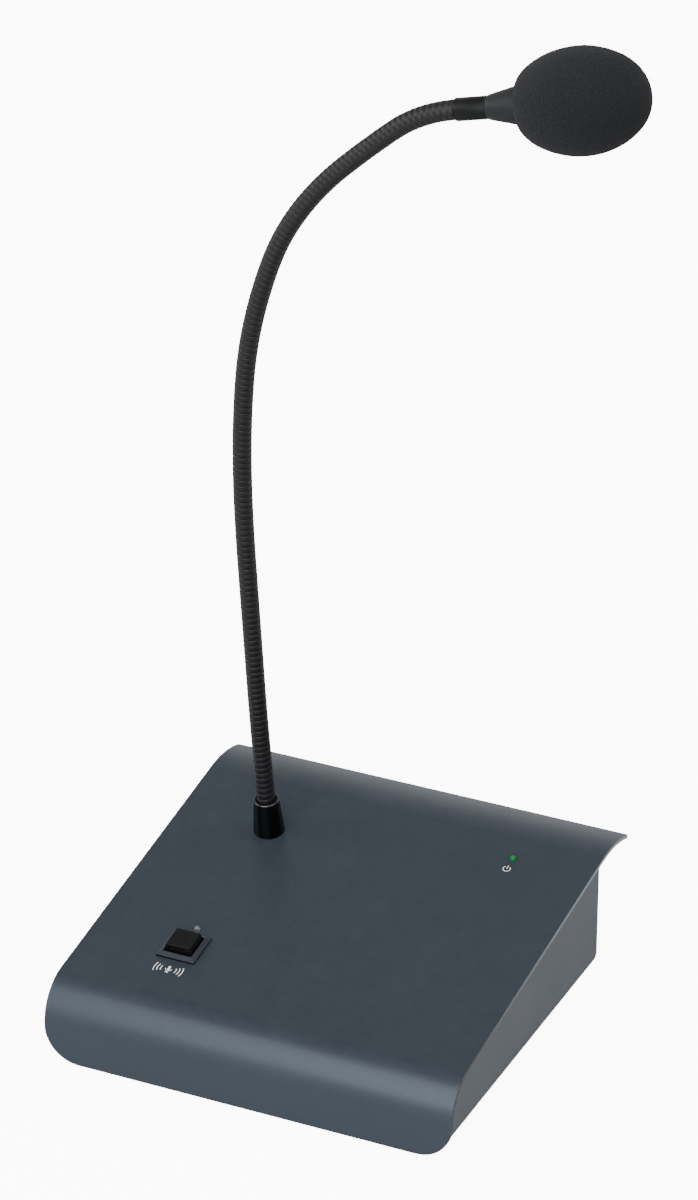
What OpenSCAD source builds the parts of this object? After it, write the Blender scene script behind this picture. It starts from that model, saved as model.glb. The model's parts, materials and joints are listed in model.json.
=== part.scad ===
// Paging microphone: a sloping desk base with a talk button, and a microphone on a gooseneck.
// The origin is the middle of the base's footprint, on the table. +Y points to the rear.

/* [Cover] */
// Width of the base
base_w = 200; // [170:1:260]
// Depth of the base, from the nose to the tip of the eave
base_d = 200; // [185:1:260]
// Slope of the top panel, in degrees
slope = 9.3; // [5:0.1:13]
// Thickness of the cover's sheet
cover_t = 2; // [1:0.1:3]
// Outer radius of the rounded nose
nose_r = 20; // [16:0.5:24]
// Straight height of the front lip below the nose
lip_h = 18.5; // [17.5:0.5:24]
// Gap between the front lip and the table
lip_gap = 0.8; // [0.5:0.1:3]
// Radius of the lip's two lower corners
lip_corner_r = 17; // [4:0.5:17]
// How far the eave reaches out behind the rear wall
eave_reach = 32; // [20:1:40]
// Outer radius of the eave's roll
eave_r = 58; // [45:1:90]
// Straight run of the panel behind the rear wall
eave_lead = 2; // [0.5:0.5:8]

/* [Chassis] */
// How far the side walls are set in from the cover's edge
wall_inset = 1; // [0.5:0.1:3]
// Thickness of the chassis sheet
chassis_t = 1.5; // [1:0.1:2]
// Width of the flanges that are folded inwards
flange_w = 12; // [11:0.5:16]
// Gap between the side walls and the inside of the nose
wall_gap = 0.5; // [0.3:0.1:1.5]
// Radius of the side walls' lower rear corner
wall_corner_r = 3; // [1:0.5:5]
// Thickness of the base plate
plate_t = 1.5; // [1:0.1:2]
// Height of the base plate's upturned front edge
upturn_h = 12; // [6:0.5:14]
// Height of the rubber feet
foot_h = 11; // [9:0.5:14]
// Diameter of the rubber feet where they meet the base plate
foot_d = 20; // [16:0.5:24]
// Distance of the feet from the base's sides
foot_side = 28; // [24:1:50]
// Distance of the front feet from the nose
foot_front = 32; // [24:1:50]
// Distance of the rear feet from the rear wall
foot_rear = 26; // [22:1:38]

/* [Talk button] */
// Distance of the button, its lamp and the neck from the base's left side
column_side = 46.5; // [40:0.5:55]
// Place of the button along the slope
button_s = 28.4; // [24:0.1:32]
// Width of the square bezel
bezel_w = 19; // [18.5:0.1:24]
// Height of the bezel above the panel
bezel_h = 2; // [1:0.1:3]
// Width of the bezel's bevel
bezel_bevel = 2.2; // [0.5:0.1:2.3]
// Height of the bezel's upright edge, below its bevel
bezel_edge = 0.9; // [0.4:0.1:0.9]
// Width of the button cap at its base
cap_w = 13.4; // [12:0.1:13.8]
// Width of the button cap's top face
cap_top_w = 11.6; // [8:0.1:12]
// Height of the button cap above the panel
cap_h = 5.5; // [4.6:0.1:7]
// Travel of the button
button_travel = 2.5; // [1:0.1:2.5]
// Wall of the bezel's tube below the panel
bezel_wall = 1; // [0.8:0.1:1.2]
// Depth of the bezel's tube below the panel
bezel_depth = 10; // [9.5:0.1:12]
// Height of the switch body
switch_h = 12; // [10:0.5:13]
// Diameter of the plunger
plunger_d = 4; // [3:0.1:4.4]
// How far the plunger reaches into the switch body at rest
plunger_reach = 2.5; // [1:0.1:4]
// Turns of the return spring
spring_turns = 6; // [4:1:7]
// Wire of the return spring
spring_wire = 0.7; // [0.4:0.1:0.8]

/* [Lamps] */
// Diameter of the lamps
lamp_d = 3; // [2.5:0.1:4]
// Height of a lamp's shoulder above the panel
lamp_rise = 0.2; // [0:0.1:1]
// Place of the talk lamp along the slope
talk_lamp_s = 42; // [41.5:0.1:48]
// Distance of the power lamp from the base's right side
power_lamp_side = 38.7; // [34:0.1:50]
// Distance of the power lamp from the rear wall, along the slope
power_lamp_back = 12.37; // [11:0.01:20]

/* [Neck] */
// Distance of the neck from the rear wall, along the slope
neck_back = 31.67; // [24:0.01:40]
// Outer diameter of the gooseneck
neck_d = 8.7; // [7.6:0.1:9]
// Bore of the gooseneck
neck_bore = 3; // [2:0.1:3.4]
// Length of the fixed root, above the panel
root_len = 51; // [40:0.5:60]
// Length of each stretch of the neck above the root
link_len = 33.65; // [28:0.05:40]
// Ribs on each stretch
link_ribs = 11; // [8:1:13]
// Width of the grooves between ribs
groove_w = 0.6; // [0.4:0.05:0.8]
// Depth of the grooves between ribs
groove_depth = 0.35; // [0.2:0.05:0.5]
// Largest tilt between two stretches, in degrees
link_tilt = 15; // [5:1:15]
// Diameter of the ball at the lower end of a stretch
ball_d = 6.1; // [5.6:0.1:6.2]
// Height of the tapered socket
socket_h = 18.5; // [14:0.5:24]
// Diameter of the socket at the panel
socket_d = 14.6; // [13.6:0.1:18]
// Diameter of the socket at its top
socket_top_d = 11.7; // [11.2:0.1:12.5]
// Diameter of the threaded ferrule
ferrule_d = 10.6; // [10.3:0.1:11]
// Depth of the ferrule below the panel
ferrule_depth = 14; // [12:0.5:16]
// How far the neck's root reaches into the ferrule, below the panel
root_depth = 6; // [4:0.5:8]

/* [Head] */
// Diameter of the smooth sleeve
sleeve_d = 9.8; // [9.4:0.1:10.2]
// Length of the sleeve
sleeve_len = 15.3; // [10:0.1:20]
// Diameter of the collar next to the sleeve
collar_d = 10.4; // [9.4:0.1:11]
// Length of the collar's taper
collar_len = 14.5; // [10:0.1:20]
// Diameter of the capsule barrel
barrel_d = 16.8; // [14:0.1:18]
// Length of the capsule barrel
barrel_len = 21; // [18:0.5:24]
// Wall of the capsule barrel
barrel_wall = 1; // [0.6:0.1:1.4]
// Diameter of the microphone capsule
capsule_d = 9.7; // [8:0.1:10]
// Length of the microphone capsule
capsule_len = 6.7; // [4:0.1:8]
// Thickness of the grille
grille_t = 1.2; // [0.8:0.1:2]
// Diameter of the windscreen
foam_d = 45; // [38:0.5:52]
// Length of the windscreen, if it were not cut at the collar
foam_len = 61.4; // [54:0.1:68]
// Diameter of the windscreen's flat mouth
foam_mouth_d = 27.3; // [22:0.1:30]

/* [Board and socket] */
// Width of the circuit board
board_w = 100; // [90:1:105]
// Depth of the circuit board
board_d = 58; // [54:1:60]
// Thickness of the circuit board
board_t = 1.6; // [1:0.1:2]
// Height of the board above the base plate
standoff_h = 8; // [6:0.5:10]
// Distance of the board from the base's right side
board_side = 20; // [16:1:24]
// Width of the line socket
jack_w = 16; // [15:0.1:17]
// Height of the line socket
jack_h = 13.5; // [13:0.1:15]
// Depth of the line socket
jack_d = 21; // [18:0.1:22]
// How far the line socket stands out of the rear wall
jack_proud = 0.8; // [0.2:0.1:2]

/* [Fits] */
// Gap between pieces that move against each other
run_gap = 0.3; // [0.3:0.05:0.5]
// Gap all round a piece that passes through a hole
pass_gap = 0.2; // [0.1:0.05:0.3]
// Gap all round a screwed or pressed piece
thread_gap = 0.05; // [0.02:0.01:0.1]

/* [Hidden] */
$fn = 48;

paint = "#4a535c";
black_gloss = "#16161a";
black_matte = "#27282b";
steel = "#b8bcc0";
rubber = "#1c1c1e";

// Heights and edges of the base
nose_y = -base_d / 2 + nose_r;
nose_z = lip_gap + lip_h;
slope_z0 = nose_z + nose_r / cos(slope);
rear_y = base_d / 2 - eave_reach;
rear_s = (rear_y - nose_y) / cos(slope);
floor_z = foot_h + plate_t;
function slope_z(y) = slope_z0 + (y - nose_y) * tan(slope);

// Places on the panel, sideways and along the slope
column_x = column_side - base_w / 2;
neck_s = rear_s - neck_back;
power_lamp_x = base_w / 2 - power_lamp_side;
power_lamp_s = rear_s - power_lamp_back;

// Roll of the eave
eave_y0 = rear_y + eave_lead;
eave_cy = eave_y0 + eave_r * sin(slope);
eave_end = acos((base_d / 2 - eave_cy) / eave_r);
bend_steps = 24;

// Chassis
chassis_w = base_w - 2 * wall_inset;
flange_x = (chassis_w - flange_w) / 2;
plate_gap = 0.5;
plate_w = chassis_w - 2 * (chassis_t + plate_gap);
plate_y = -base_d / 2 + cover_t + 3 * plate_gap;
flange_y = plate_y + plate_t + plate_gap;
top_flange_front = 22;
top_flange_back = 8;
top_flange_s = [top_flange_front, rear_s - top_flange_back];

// Fasteners
screw_d = 3;
screw_head_d = 5.6;
screw_head_h = 1.8;
screw_top_d = 4;
screw_grip = 3;
cross_w = 0.8;
cross_len = 3;
cross_depth = 1;
nut_af = 5.5;
nut_h = 2.4;
stud_len = 8;
stud_inset = 12;
stud_places = [for (side = [-1, 1]) for (s = [top_flange_s[0] + stud_inset, top_flange_s[1] - stud_inset])
    [side * flange_x, s]];
plate_screw_places = concat(
    [for (side = [-1, 1]) for (i = [1, 2]) [side * flange_x, flange_y + i * (rear_y - flange_y) / 3]],
    [for (side = [-1, 1]) [side * chassis_w / 4, rear_y - flange_w / 2]]);
foot_x = base_w / 2 - foot_side;
foot_places = [for (x = [-foot_x, foot_x]) for (y = [foot_front - base_d / 2, rear_y - foot_rear]) [x, y]];
foot_taper = 1.5;
foot_well_d = 7.4;
foot_well_h = foot_h / 2;

// Talk button
bezel_hole = cap_w + 2 * run_gap;
bezel_tube = bezel_hole + 2 * bezel_wall;
cap_skirt = 3;
cap_recess_w = 10.6;
spring_d = plunger_d + 2 * spring_wire + 1;
clip_t = 0.8;
clip_wing = 3.5;
clip_w = bezel_tube + 2 * clip_wing;
clip_d = bezel_tube + 2 * clip_t;
terminal_len = 5;
terminal_w = 2.8;
terminal_t = 0.8;

// Lamps
lamp_flange_d = lamp_d + 0.8;
lamp_flange_h = 1;
lamp_seat = 0.6;
holder_d = lamp_d + 5;
holder_h = 5;

// Neck: how far each stretch is bent towards the right, from the root up, in degrees
neck_turns = [1, 0, 0, 1.5, 2.7, 3.3, 7.2, 6.3, 12.9, 10.8, 3.3, 26.2];
link_count = len(neck_turns);
rim_gap = neck_d / 2 * tan(link_tilt) + run_gap / cos(link_tilt);
cup_d = ball_d + 2 * run_gap;
root_ribs = ceil((root_len + root_depth) / (link_len / link_ribs));
ferrule_top = 3;
socket_skirt = 1;
socket_edge = 0.6;
washer_d = 18;
washer_t = 1.2;
lock_nut_af = 14;
lock_nut_h = 5;
lead_bore = 4;

// Place and tilt of the joint below each stretch, in the plane of the bend
function arc_r(k) = link_len / (neck_turns[k] * PI / 180);
function neck_tilt(k) = k == 0 ? 0 : neck_tilt(k - 1) + neck_turns[k - 1];
function step_u(k) = neck_turns[k] == 0 ? link_len * sin(neck_tilt(k))
    : arc_r(k) * (cos(neck_tilt(k)) - cos(neck_tilt(k + 1)));
function step_w(k) = neck_turns[k] == 0 ? link_len * cos(neck_tilt(k))
    : arc_r(k) * (sin(neck_tilt(k + 1)) - sin(neck_tilt(k)));
function neck_u(k) = k == 0 ? 0 : neck_u(k - 1) + step_u(k - 1);
function neck_w(k) = k == 0 ? root_len : neck_w(k - 1) + step_w(k - 1);

// Head, measured along its axis from the end of the ribbed neck
spigot_d = neck_d - 0.8;
spigot_len = 6;
collar_rim = 3;
collar_end = sleeve_len + collar_len + collar_rim;
barrel_end = collar_end + barrel_len;
grille_end = barrel_end + grille_t;
grille_hole_d = 2;
capsule_gap = 1;
capsule_z = barrel_end - capsule_len - capsule_gap;
foam_gap = 0.3;
foam_cut = 180 - asin(foam_mouth_d / foam_d);
foam_mid = collar_end + foam_gap - foam_len / 2 * cos(foam_cut);
foam_steps = 18;

// Board
board_gap = 2.5;
board_x = base_w / 2 - board_side - board_w / 2;
board_y = rear_y - chassis_t - board_gap - board_d / 2;
board_z = floor_z + standoff_h;
board_top = board_z + board_t;
standoff_d = 6;
standoff_inset = 4;
standoff_gap = 1;
standoff_places = [for (x = [-1, 1])
    for (y = [board_y - board_d / 2 + standoff_inset, rear_y - flange_w - standoff_d / 2 - standoff_gap])
        [board_x + x * (board_w / 2 - standoff_inset), y]];
jack_x = board_x;
jack_y = rear_y + jack_proud - jack_d;
plug_w = 11.9;
plug_h = 7;
plug_depth = 14;
latch_w = 6.2;
latch_h = 2;
jack_floor = 2.6;
contact_pitch = 1.02;
contact_w = 0.45;
contact_t = 0.5;
contact_len = 9;
contact_back = 2;
header_h = 7;
header_w = 8;
header_d = 10;
header_inset = 9;
mic_header_y = 4;
switch_header_y = -16;
lamp_header_inset = 16;
lamp_header_y = 6;
header_places = [[board_x - board_w / 2 + header_inset, board_y + mic_header_y],
    [board_x - board_w / 2 + header_inset, board_y + switch_header_y],
    [board_x + board_w / 2 - lamp_header_inset, board_y + lamp_header_y]];
chip_sizes = [[6, 5], [10, 10], [6, 5]];
chip_t = 1.6;
chip_x = -22;
chip_y = -12;
chip_pitch = 20;
can_d = 8;
can_h = 11;
can_x = -26;
can_y = 8;
can_pitch = 11;

// Leads inside the base
mic_lead_d = 2.4;
switch_lead_d = 1.8;
lamp_lead_d = 1.6;
lead_drop = 3;
lead_clear = 3;
lead_z = board_top + 4;
lead_arch = 12;

// Places a piece on the sloping panel: its Z is square to the panel, and 0 is the painted face
module on_slope(x, s)
    translate([x, nose_y + s * cos(slope), slope_z0 + s * sin(slope)])
        rotate([slope, 0, 0])
            children();

// Places a piece at the joint below a stretch of the neck, with its Z along the neck
module on_neck(k)
    on_slope(column_x, neck_s)
        translate([neck_u(k), 0, neck_w(k)])
            rotate([0, neck_tilt(k), 0])
                children();

// Extrudes a side view, drawn in Y and Z, across the base
module across(w)
    rotate([90, 0, 90])
        linear_extrude(w, center = true)
            children();

// A round bar with a bore right through
module pipe(d, bore, h)
    difference() {
        cylinder(d = d, h = h);
        translate([0, 0, -1])
            cylinder(d = bore, h = h + 2);
    }

// A square block with an upright edge, above which its four sides slope in towards the top
module square_taper(w, top_w, edge, h)
    intersection_for (turn = [0, 90])
        rotate([0, 0, turn])
            rotate([90, 0, 0])
                linear_extrude(w, center = true)
                    polygon([[-w / 2, 0], [w / 2, 0], [w / 2, edge], [top_w / 2, h], [-top_w / 2, h],
                        [-w / 2, edge]]);

module block(w, d, h)
    translate([-w / 2, -d / 2, 0])
        cube([w, d, h]);

// A pan head screw that points up, with its head below 0 and a cross recess in it
module screw(len)
    difference() {
        rotate_extrude()
            polygon([[0, len], [screw_d / 2, len], [screw_d / 2, 0], [screw_head_d / 2, 0],
                [screw_head_d / 2, -screw_head_h / 2], [screw_top_d / 2, -screw_head_h], [0, -screw_head_h]]);
        for (turn = [0, 90])
            rotate([0, 0, turn])
                translate([0, 0, -screw_head_h - cross_depth])
                    block(cross_len, cross_w, 2 * cross_depth);
    }

module hex_nut(af, bore, h)
    difference() {
        cylinder(d = af / cos(30), h = h, $fn = 6);
        translate([0, 0, -1])
            cylinder(d = bore, h = h + 2);
    }

// A tube swept along points, for leads and for the spring
function unit(v) = v / norm(v);
function along(path, i) = unit(path[min(i + 1, len(path) - 1)] - path[max(i - 1, 0)]);
function ring(centre, dir, r, sides, side_ref) =
    let (a = unit(cross(side_ref, dir)), b = cross(dir, a))
    [for (j = [0:sides - 1]) centre + r * (cos(360 * j / sides) * a + sin(360 * j / sides) * b)];

module tube(path, d, sides = 8, side_ref = [0, 0, 1]) {
    last = len(path) - 1;
    points = [for (i = [0:last]) each ring(path[i], along(path, i), d / 2, sides, side_ref)];
    walls = [for (i = [0:last - 1]) for (j = [0:sides - 1])
        let (a = i * sides + j, b = i * sides + (j + 1) % sides)
        each [[a, a + sides, b + sides], [a, b + sides, b]]];
    caps = [for (j = [1:sides - 2])
        each [[0, j, j + 1], [last * sides, last * sides + j + 1, last * sides + j]]];
    polyhedron(points, concat(walls, caps));
}

// Cover: lip, nose, panel and eave in one bent sheet, drawn round its outer face and back along the inner
function arc(centre, r, from, to, steps) =
    [for (i = [0:steps]) let (a = from + (to - from) * i / steps) centre + r * [cos(a), sin(a)]];

module bent_sheet() {
    nose = [nose_y, nose_z];
    eave = [eave_cy, slope_z(eave_y0) - eave_r * cos(slope)];
    across(base_w)
        polygon(concat(
            [[-base_d / 2, lip_gap]],
            arc(nose, nose_r, 180, 90 + slope, bend_steps),
            arc(eave, eave_r, 90 + slope, eave_end, bend_steps),
            arc(eave, eave_r - cover_t, eave_end, 90 + slope, bend_steps),
            arc(nose, nose_r - cover_t, 90 + slope, 180, bend_steps),
            [[-base_d / 2 + cover_t, lip_gap]]));
}

// What is cut away to round one lower corner of the lip
module lip_corner()
    translate([base_w / 2 - lip_corner_r, -base_d / 2, lip_gap + lip_corner_r])
        difference() {
            translate([0, -1, -lip_corner_r - 1])
                cube([lip_corner_r + 1, cover_t + 2, lip_corner_r + 1]);
            translate([0, -2, 0])
                rotate([-90, 0, 0])
                    cylinder(r = lip_corner_r, h = cover_t + 4);
        }

module panel_hole(d)
    translate([0, 0, -2 * cover_t])
        cylinder(d = d, h = 3 * cover_t);

module top_cover()
    color(paint)
        difference() {
            bent_sheet();
            lip_corner();
            mirror([1, 0, 0])
                lip_corner();
            on_slope(column_x, neck_s)
                panel_hole(ferrule_d + 2 * pass_gap);
            on_slope(column_x, button_s)
                translate([0, 0, -2 * cover_t])
                    block(bezel_tube + 2 * pass_gap, bezel_tube + 2 * pass_gap, 3 * cover_t);
            on_slope(column_x, talk_lamp_s)
                panel_hole(lamp_d + 2 * pass_gap);
            on_slope(power_lamp_x, power_lamp_s)
                panel_hole(lamp_d + 2 * pass_gap);
        }

// Chassis: side walls, rear wall and flanges folded from one sheet
module wall_side_view() {
    front_r = nose_r - cover_t - wall_gap;
    top_r = nose_r - cover_t;
    rear_top = slope_z(rear_y) - cover_t / cos(slope);
    difference() {
        union() {
            intersection() {
                translate([nose_y, nose_z])
                    circle(front_r, $fn = 96);
                translate([nose_y - front_r, nose_z])
                    square(front_r);
            }
            polygon([[nose_y - front_r, floor_z], [rear_y, floor_z], [rear_y, rear_top],
                [nose_y - top_r * sin(slope), nose_z + top_r * cos(slope)], [nose_y, nose_z],
                [nose_y - front_r, nose_z]]);
        }
        translate([rear_y - wall_corner_r, floor_z + wall_corner_r])
            difference() {
                translate([0, -wall_corner_r - 1])
                    square(wall_corner_r + 1);
                circle(wall_corner_r);
            }
    }
}

module top_flange(side)
    on_slope(side * flange_x, (top_flange_s[0] + top_flange_s[1]) / 2)
        translate([0, 0, -cover_t - chassis_t / 2])
            cube([flange_w, top_flange_s[1] - top_flange_s[0], chassis_t], center = true);

module chassis()
    color(paint)
        difference() {
            union() {
                for (side = [-1, 1]) {
                    translate([side * (chassis_w - chassis_t) / 2, 0, 0])
                        across(chassis_t)
                            wall_side_view();
                    top_flange(side);
                    translate([side * flange_x - flange_w / 2, flange_y, floor_z])
                        cube([flange_w, rear_y - wall_corner_r - flange_y, chassis_t]);
                }
                intersection() {
                    across(chassis_w)
                        wall_side_view();
                    translate([-chassis_w / 2, rear_y - chassis_t, 0])
                        cube([chassis_w, chassis_t, base_d]);
                }
                translate([-chassis_w / 2, rear_y - flange_w, floor_z])
                    cube([chassis_w, flange_w - wall_corner_r, chassis_t]);
            }
            for (p = stud_places)
                on_slope(p[0], p[1])
                    translate([0, 0, -cover_t - 2 * chassis_t])
                        cylinder(d = screw_d + 2 * pass_gap, h = 3 * chassis_t);
            for (p = plate_screw_places)
                translate([p[0], p[1], floor_z - 1])
                    cylinder(d = screw_d + 2 * thread_gap, h = chassis_t + 2);
            translate([jack_x, rear_y, board_top - pass_gap])
                block(jack_w + 2 * pass_gap, 4 * chassis_t, jack_h + 2 * pass_gap);
        }

module base_plate()
    color(steel)
        difference() {
            union() {
                translate([-plate_w / 2, plate_y, foot_h])
                    cube([plate_w, rear_y - plate_gap - wall_corner_r - plate_y, plate_t]);
                translate([-plate_w / 2, plate_y, foot_h])
                    cube([plate_w, plate_t, upturn_h]);
            }
            for (p = concat(plate_screw_places, foot_places))
                translate([p[0], p[1], foot_h - 1])
                    cylinder(d = screw_d + 2 * pass_gap, h = plate_t + 2);
            for (p = standoff_places)
                translate([p[0], p[1], foot_h - 1])
                    cylinder(d = screw_d + 2 * pass_gap, h = plate_t + 2);
        }

module cover_studs()
    color(steel)
        for (p = stud_places)
            on_slope(p[0], p[1])
                translate([0, 0, -cover_t - stud_len])
                    cylinder(d = screw_d, h = stud_len);

module cover_nuts()
    color(steel)
        for (p = stud_places)
            on_slope(p[0], p[1])
                translate([0, 0, -cover_t - chassis_t - nut_h])
                    hex_nut(nut_af, screw_d + 2 * thread_gap, nut_h);

module base_screws()
    color(steel)
        for (p = plate_screw_places)
            translate([p[0], p[1], foot_h])
                screw(plate_t + chassis_t + screw_grip);

module rubber_feet()
    color(rubber)
        for (p = foot_places)
            translate([p[0], p[1], 0])
                difference() {
                    cylinder(d1 = foot_d - 2 * foot_taper, d2 = foot_d, h = foot_h);
                    translate([0, 0, -1])
                        cylinder(d = foot_well_d, h = foot_well_h + 1);
                    cylinder(d = screw_d + 2 * pass_gap, h = foot_h + 1);
                }

module foot_screws()
    color(steel)
        for (p = foot_places)
            translate([p[0], p[1], foot_well_h])
                screw(floor_z - foot_well_h + nut_h + 2 * thread_gap);

module foot_nuts()
    color(steel)
        for (p = foot_places)
            translate([p[0], p[1], floor_z])
                hex_nut(nut_af, screw_d + 2 * thread_gap, nut_h);

// Neck: socket, clamp and the ribbed tube in stretches that seat ball in cup
module neck_socket()
    color(black_gloss)
        on_slope(column_x, neck_s)
            rotate_extrude() {
                inner = ferrule_d / 2 + pass_gap;
                throat = neck_d / 2 + pass_gap;
                polygon([[inner, 0], [socket_d / 2, 0], [socket_d / 2, socket_skirt],
                    [socket_top_d / 2, socket_h - socket_edge], [socket_top_d / 2 - socket_edge, socket_h],
                    [throat, socket_h], [throat, ferrule_top + pass_gap], [inner, ferrule_top + pass_gap]]);
            }

module neck_ferrule()
    color(steel)
        on_slope(column_x, neck_s)
            difference() {
                translate([0, 0, -ferrule_depth])
                    cylinder(d = ferrule_d, h = ferrule_depth + ferrule_top);
                translate([0, 0, -root_depth])
                    cylinder(d = neck_d + 2 * thread_gap, h = root_depth + ferrule_top + 1);
                translate([0, 0, -ferrule_depth - 1])
                    cylinder(d = lead_bore, h = ferrule_depth);
            }

module neck_washer()
    color(steel)
        on_slope(column_x, neck_s)
            translate([0, 0, -cover_t - washer_t])
                pipe(washer_d, ferrule_d + 2 * pass_gap, washer_t);

module neck_lock_nut()
    color(steel)
        on_slope(column_x, neck_s)
            translate([0, 0, -cover_t - washer_t - lock_nut_h])
                hex_nut(lock_nut_af, ferrule_d + 2 * thread_gap, lock_nut_h);

// A round stretch between two distances along a bend of the given length and turn
module bent_bar(d, from, to, len, turn) {
    if (turn == 0) {
        translate([0, 0, from])
            cylinder(d = d, h = to - from);
    } else {
        r = len / (turn * PI / 180);
        translate([r, 0, 0])
            rotate([90, 0, 180])
                rotate([0, 0, turn * from / len])
                    rotate_extrude(angle = turn * (to - from) / len, $fn = 180)
                        translate([r, 0])
                            circle(d = d);
    }
}

// Ribs at an even pitch over a core, with the first and last rib at the two ends
module ribbed_bar(from, to, ribs, len, turn) {
    pitch = (to - from + groove_w) / ribs;
    bent_bar(neck_d - 2 * groove_depth, from, to, len, turn);
    for (i = [0:ribs - 1])
        bent_bar(neck_d, from + i * pitch, from + i * pitch + pitch - groove_w, len, turn);
}

module neck_root()
    color(black_matte)
        on_slope(column_x, neck_s)
            difference() {
                ribbed_bar(-root_depth, root_len, root_ribs, root_len, 0);
                translate([0, 0, root_len])
                    sphere(d = cup_d);
                translate([0, 0, -root_depth - 1])
                    cylinder(d = neck_bore, h = root_len + root_depth + 2);
            }

// Places a piece at the far end of a stretch, seen from its own joint
module at_link_end(turn)
    if (turn == 0) {
        translate([0, 0, link_len])
            children();
    } else {
        r = link_len / (turn * PI / 180);
        translate([r * (1 - cos(turn)), 0, r * sin(turn)])
            rotate([0, turn, 0])
                children();
    }

module neck_link(k) {
    turn = neck_turns[k];
    top_link = k == link_count - 1;
    color(black_matte)
        on_neck(k)
            difference() {
                union() {
                    ribbed_bar(rim_gap, link_len, link_ribs, link_len, turn);
                    sphere(d = ball_d);
                    if (top_link)
                        at_link_end(turn)
                            translate([0, 0, -1])
                                cylinder(d = spigot_d, h = spigot_len + 1);
                }
                if (!top_link)
                    at_link_end(turn)
                        sphere(d = cup_d);
                bent_bar(neck_bore, 0, link_len, link_len, turn);
                translate([0, 0, -ball_d])
                    cylinder(d = neck_bore, h = ball_d);
                if (top_link)
                    at_link_end(turn)
                        translate([0, 0, -1])
                            cylinder(d = lead_bore, h = spigot_len + 2);
            }
}

// Talk button
module switch_bezel()
    color(black_matte)
        on_slope(column_x, button_s)
            difference() {
                union() {
                    square_taper(bezel_w, bezel_w - 2 * bezel_bevel, bezel_edge, bezel_h);
                    translate([0, 0, -bezel_depth])
                        block(bezel_tube, bezel_tube, bezel_depth);
                }
                translate([0, 0, -bezel_depth - 1])
                    block(bezel_hole, bezel_hole, bezel_depth + bezel_h + 2);
            }

module switch_clip()
    color(steel)
        on_slope(column_x, button_s)
            translate([0, 0, -cover_t - clip_t])
                difference() {
                    block(clip_w, clip_d, clip_t);
                    translate([0, 0, -1])
                        block(bezel_tube + 2 * thread_gap, bezel_tube + 2 * thread_gap, clip_t + 2);
                }

module button_cap()
    color(black_matte)
        on_slope(column_x, button_s)
            difference() {
                translate([0, 0, -cap_skirt])
                    square_taper(cap_w, cap_top_w, cap_skirt + bezel_h, cap_skirt + cap_h);
                translate([0, 0, -cap_skirt - 1])
                    block(cap_recess_w, cap_recess_w, cap_skirt + 1);
            }

module button_plunger()
    color("ivory")
        on_slope(column_x, button_s)
            translate([0, 0, -bezel_depth - plunger_reach])
                cylinder(d = plunger_d, h = bezel_depth + plunger_reach);

module switch_body()
    color(rubber)
        on_slope(column_x, button_s)
            translate([0, 0, -bezel_depth - switch_h])
                difference() {
                    block(bezel_tube, bezel_tube, switch_h);
                    translate([0, 0, switch_h - plunger_reach - button_travel - run_gap])
                        cylinder(d = plunger_d + 2 * run_gap, h = switch_h);
                }

module switch_terminals()
    color("gold")
        on_slope(column_x, button_s)
            for (x = [-1, 1])
                for (y = [-1, 1])
                    translate([x * bezel_tube / 4, y * bezel_tube / 4, -bezel_depth - switch_h - terminal_len])
                        block(terminal_w, terminal_t, terminal_len);

module switch_spring() {
    steps = 8 * spring_turns;
    low = -bezel_depth + spring_wire / 2 + thread_gap;
    rise = bezel_depth - spring_wire - 2 * thread_gap;
    path = [for (i = [0:steps])
        [spring_d / 2 * cos(360 * i / 8), spring_d / 2 * sin(360 * i / 8), low + rise * i / steps]];
    color(steel)
        on_slope(column_x, button_s)
            tube(path, spring_wire, 6);
}

// Lamps
module lamp(tint)
    color(tint)
        rotate_extrude() {
            translate([0, -cover_t - lamp_seat])
                square([lamp_d / 2, cover_t + lamp_seat + lamp_rise]);
            translate([0, -cover_t - lamp_seat - lamp_flange_h])
                square([lamp_flange_d / 2, lamp_flange_h]);
            intersection() {
                translate([0, lamp_rise])
                    circle(d = lamp_d);
                translate([0, lamp_rise])
                    square(lamp_d);
            }
        }

module lamp_holder()
    color(rubber)
        translate([0, 0, -cover_t - holder_h])
            difference() {
                cylinder(d = holder_d, h = holder_h);
                translate([0, 0, -1])
                    cylinder(d = lamp_d + 2 * thread_gap, h = holder_h + 2);
                translate([0, 0, -1])
                    cylinder(d = lamp_flange_d + 2 * thread_gap, h = holder_h - lamp_seat + 1);
            }

module talk_lamp()
    on_slope(column_x, talk_lamp_s)
        lamp("lightgray");

module talk_lamp_holder()
    on_slope(column_x, talk_lamp_s)
        lamp_holder();

module power_lamp()
    on_slope(power_lamp_x, power_lamp_s)
        lamp("green");

module power_lamp_holder()
    on_slope(power_lamp_x, power_lamp_s)
        lamp_holder();

// Circuit board and line socket
module main_board()
    color("darkgreen")
        difference() {
            translate([board_x, board_y, board_z])
                block(board_w, board_d, board_t);
            for (p = standoff_places)
                translate([p[0], p[1], board_z - 1])
                    cylinder(d = screw_d + 2 * pass_gap, h = board_t + 2);
        }

module board_standoffs()
    color("gold")
        for (p = standoff_places)
            translate([p[0], p[1], floor_z])
                pipe(standoff_d, screw_d + 2 * thread_gap, standoff_h);

module board_screws()
    color(steel)
        for (p = standoff_places)
            translate([p[0], p[1], board_top])
                mirror([0, 0, 1])
                    screw(board_t + standoff_h - screw_grip);

module board_chips()
    color(rubber)
        for (i = [0:len(chip_sizes) - 1])
            translate([board_x + chip_x + chip_pitch * i, board_y + chip_y, board_top])
                block(chip_sizes[i][0], chip_sizes[i][1], chip_t);

module board_capacitors()
    color("navy")
        for (i = [0:2])
            translate([board_x + can_x + can_pitch * i, board_y + can_y, board_top])
                cylinder(d = can_d, h = can_h);

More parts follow.
